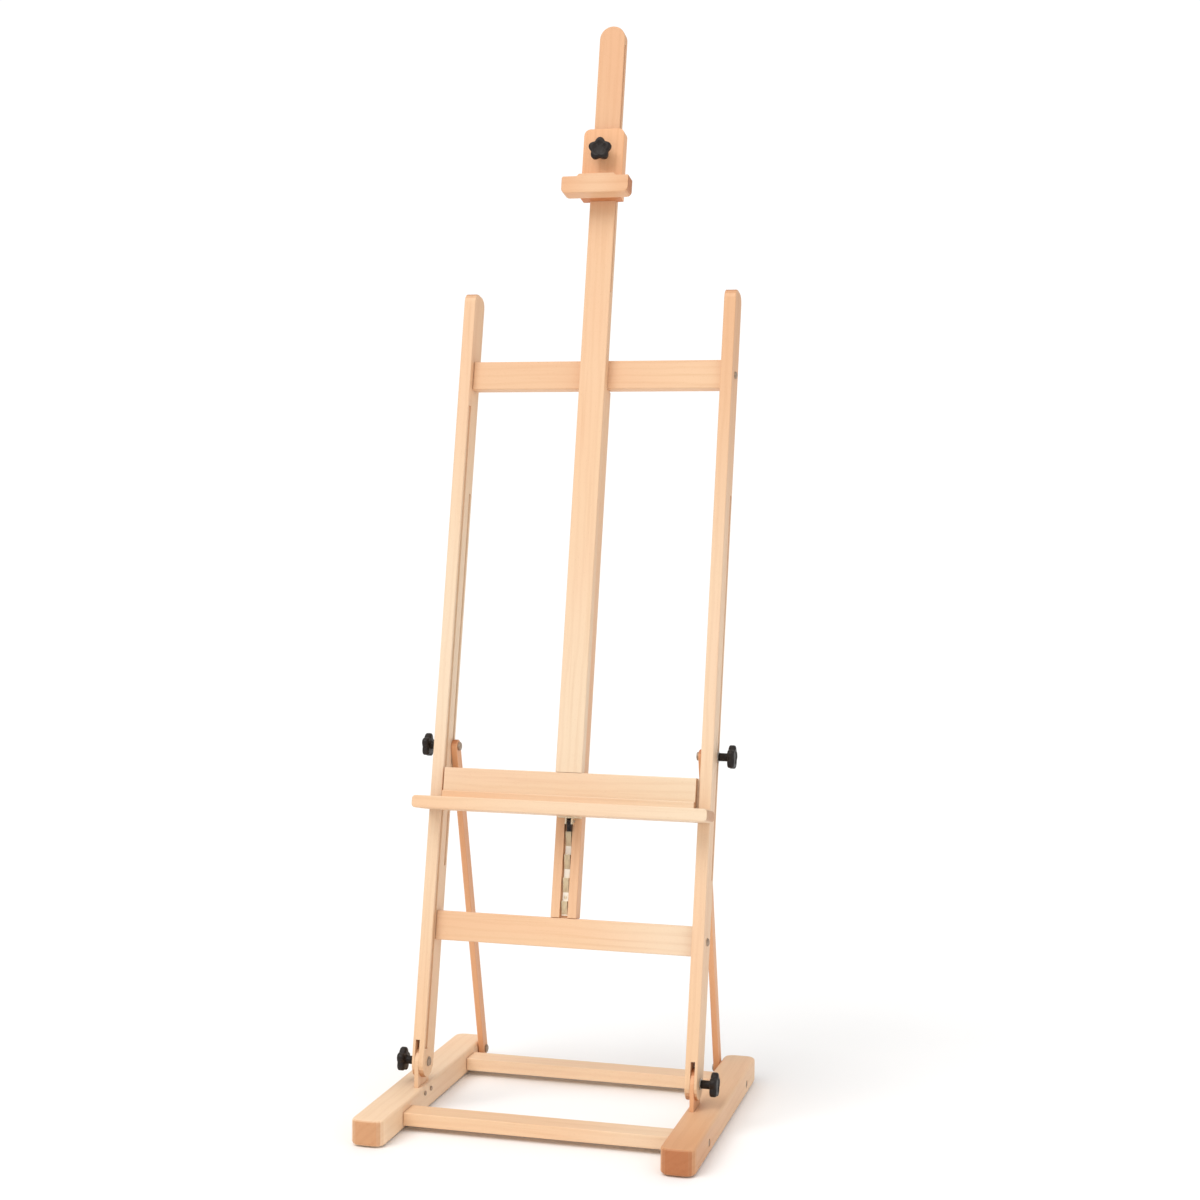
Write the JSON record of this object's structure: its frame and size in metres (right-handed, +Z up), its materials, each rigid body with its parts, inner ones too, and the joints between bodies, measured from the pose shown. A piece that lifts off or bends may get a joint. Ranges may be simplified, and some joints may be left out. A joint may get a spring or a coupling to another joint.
{
  "type": "artist easel",
  "caption": "Studio H-frame easel in pale beech: leaning frame on two skid feet, folding struts, ratchet tray with mast, sliding top clamp and star knobs.",
  "frame": {"origin": "on the floor, at the centre of the bounding box in plan", "axes": "+Z up, +X to the right as the painter faces the easel, +Y away from the painter, towards the back"},
  "size_m": [0.54, 0.5377, 1.8],
  "materials": {
    "wood": "satin oiled beech",
    "knob_plastic": "dark moulded plastic",
    "rubber": "matt",
    "steel": "zinc plated",
    "brass": "yellow plated",
    "black_steel": "black"
  },
  "bodies": {
    "base": {"front_base_rail": "wood", "left_foot": "wood", "left_front_base_bolt": "steel", "left_front_pad": "rubber", "left_front_tongue_screw": "steel", "left_rear_base_bolt": "steel", "left_rear_pad": "rubber", "left_rear_tongue_screw": "steel", "left_strut_pin": "steel", "left_tongue": "wood", "rear_base_rail": "wood", "right_foot": "wood", "right_front_base_bolt": "steel", "right_front_pad": "rubber", "right_front_tongue_screw": "steel", "right_rear_base_bolt": "steel", "right_rear_pad": "rubber", "right_rear_tongue_screw": "steel", "right_strut_pin": "steel", "right_tongue": "wood"},
    "frame": {"centre_rail": "wood", "left_lower_crossbar_bolt": "steel", "left_pivot_bolt": "steel", "left_pivot_washer": "steel", "left_post": "wood", "left_top_crossbar_bolt": "steel", "lower_crossbar": "wood", "lower_rack_screw": "brass", "mast_guide_key": "wood", "ratchet_rack": "brass", "right_lower_crossbar_bolt": "steel", "right_pivot_bolt": "steel", "right_pivot_washer": "steel", "right_post": "wood", "right_top_crossbar_bolt": "steel", "top_crossbar": "wood", "upper_rack_screw": "brass"},
    "carriage": {"tray_backboard": "wood", "tray_ledge": "wood", "tray_cleat": "wood", "mast": "wood", "pawl_bracket": "brass", "pawl_pin": "steel"},
    "pawl_lever": {"pawl": "black_steel"},
    "clamp": {"clamp_block": "wood", "clamp_bar": "wood"},
    "clamp_turn": {"clamp_knob": "knob_plastic", "clamp_screw": "steel"},
    "left_strut_link": {"left_strut": "wood", "left_strut_nut": "steel"},
    "left_stud": {"left_strut_stud": "steel", "left_strut_washer": "steel"},
    "left_strut_turn": {"left_strut_knob": "knob_plastic"},
    "left_pivot_turn": {"left_pivot_knob": "knob_plastic"},
    "right_strut_link": {"right_strut": "wood", "right_strut_nut": "steel"},
    "right_stud": {"right_strut_stud": "steel", "right_strut_washer": "steel"},
    "right_strut_turn": {"right_strut_knob": "knob_plastic"},
    "right_pivot_turn": {"right_pivot_knob": "knob_plastic"}
  },
  "joints": [
    {"name": "frame_tilt", "type": "hinge", "parent": "base", "child": "frame", "pos_m": [0, -0.06174, 0.07988], "axis": [-1, 0, 0], "range_deg": [-4, 78.7]},
    {"name": "left_strut_fold", "type": "hinge", "parent": "base", "child": "left_strut_link", "pos_m": [-0.2097, 0.21039, 0.0285], "axis": [-1, 0, 0], "range_deg": [-5.69, 102.7]},
    {"name": "left_stud_slide", "type": "slide", "parent": "frame", "child": "left_stud", "axis": [0, 0.1959, 0.9806], "range_m": [-0.0178, 0.3324]},
    {"name": "left_strut_knob_turn", "type": "hinge", "parent": "left_stud", "child": "left_strut_turn", "pos_m": [-0.25, 0.05319, 0.58107], "axis": [1, 0, 0], "continuous": true},
    {"name": "left_pivot_knob_turn", "type": "hinge", "parent": "frame", "child": "left_pivot_turn", "pos_m": [-0.25, -0.06174, 0.07988], "axis": [1, 0, 0], "continuous": true},
    {"name": "right_strut_fold", "type": "hinge", "parent": "base", "child": "right_strut_link", "pos_m": [0.2097, 0.21039, 0.0285], "axis": [-1, 0, 0], "range_deg": [-5.69, 102.7]},
    {"name": "right_stud_slide", "type": "slide", "parent": "frame", "child": "right_stud", "axis": [0, 0.1959, 0.9806], "range_m": [-0.0178, 0.3324]},
    {"name": "right_strut_knob_turn", "type": "hinge", "parent": "right_stud", "child": "right_strut_turn", "pos_m": [0.25, 0.05319, 0.58107], "axis": [1, 0, 0], "continuous": true},
    {"name": "right_pivot_knob_turn", "type": "hinge", "parent": "frame", "child": "right_pivot_turn", "pos_m": [0.25, -0.06174, 0.07988], "axis": [1, 0, 0], "continuous": true},
    {"name": "tray_slide", "type": "slide", "parent": "frame", "child": "carriage", "axis": [0, 0.1959, 0.9806], "range_m": [-0.1116, 0.558]},
    {"name": "pawl_swing", "type": "hinge", "parent": "carriage", "child": "pawl_lever", "pos_m": [0.003, 0.00114, 0.47369], "axis": [-1, 0, 0], "range_deg": [0, 50], "stiffness_Nm_per_rad": 0.01, "springref_deg": -28.65},
    {"name": "clamp_slide", "type": "slide", "parent": "carriage", "child": "clamp", "axis": [0, 0.1959, 0.9806], "range_m": [-0.15, 0.15]},
    {"name": "clamp_knob_turn", "type": "hinge", "parent": "clamp", "child": "clamp_turn", "pos_m": [0, 0.18069, 1.57638], "axis": [0, 0.9806, -0.1959], "continuous": true}
  ],
  "couplings": [
    {"joint": "left_strut_fold", "follows": "frame_tilt", "ratio": 1.2986},
    {"joint": "left_stud_slide", "follows": "frame_tilt", "m_per_rad": 0.2413},
    {"joint": "right_strut_fold", "follows": "frame_tilt", "ratio": 1.2986},
    {"joint": "right_stud_slide", "follows": "frame_tilt", "m_per_rad": 0.2413}
  ]
}
